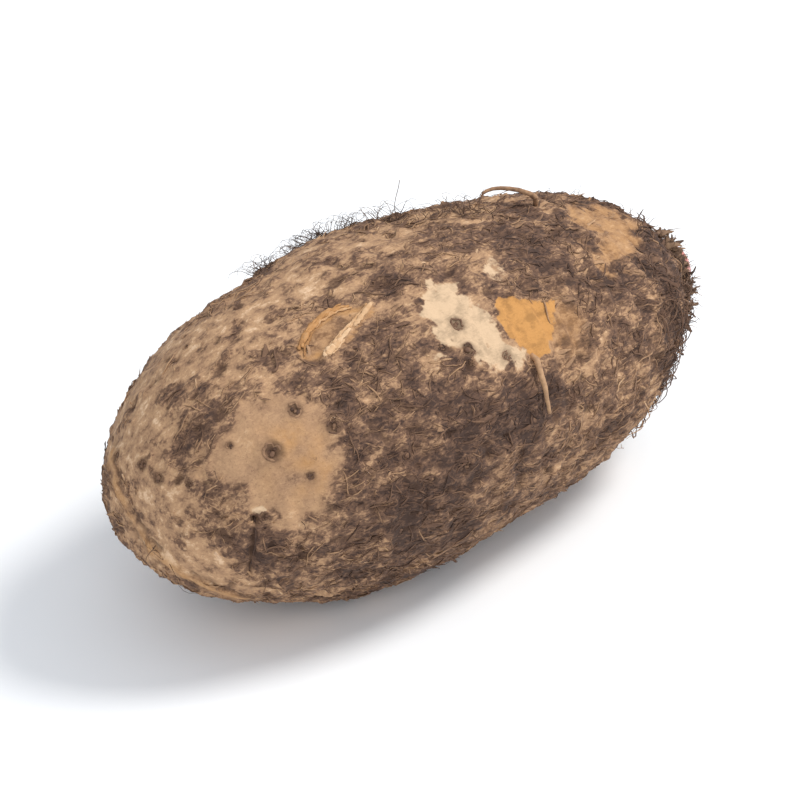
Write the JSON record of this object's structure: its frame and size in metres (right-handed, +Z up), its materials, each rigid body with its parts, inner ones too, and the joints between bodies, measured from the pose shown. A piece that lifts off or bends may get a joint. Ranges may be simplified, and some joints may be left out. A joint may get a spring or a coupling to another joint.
{
  "type": "taro root",
  "caption": "Whole taro root lying on its side: a rough oval corm with ring scars, torn sheath scales and fine rootlets, and a blunt pink shoot bud at its narrower end.",
  "frame": {"origin": "on the floor, at the flat spot under the middle of the corm that the root rests on", "axes": "+X along the corm towards its shoot end, +Z up"},
  "size_m": [0.1958, 0.0907, 0.0881],
  "materials": {
    "corm_skin": "rough, dry, fibrous brown skin",
    "bud": "smooth pink shoot bud"
  },
  "bodies": {
    "root": {"corm": "corm_skin", "shoot_bud": "bud"}
  },
  "joints": []
}
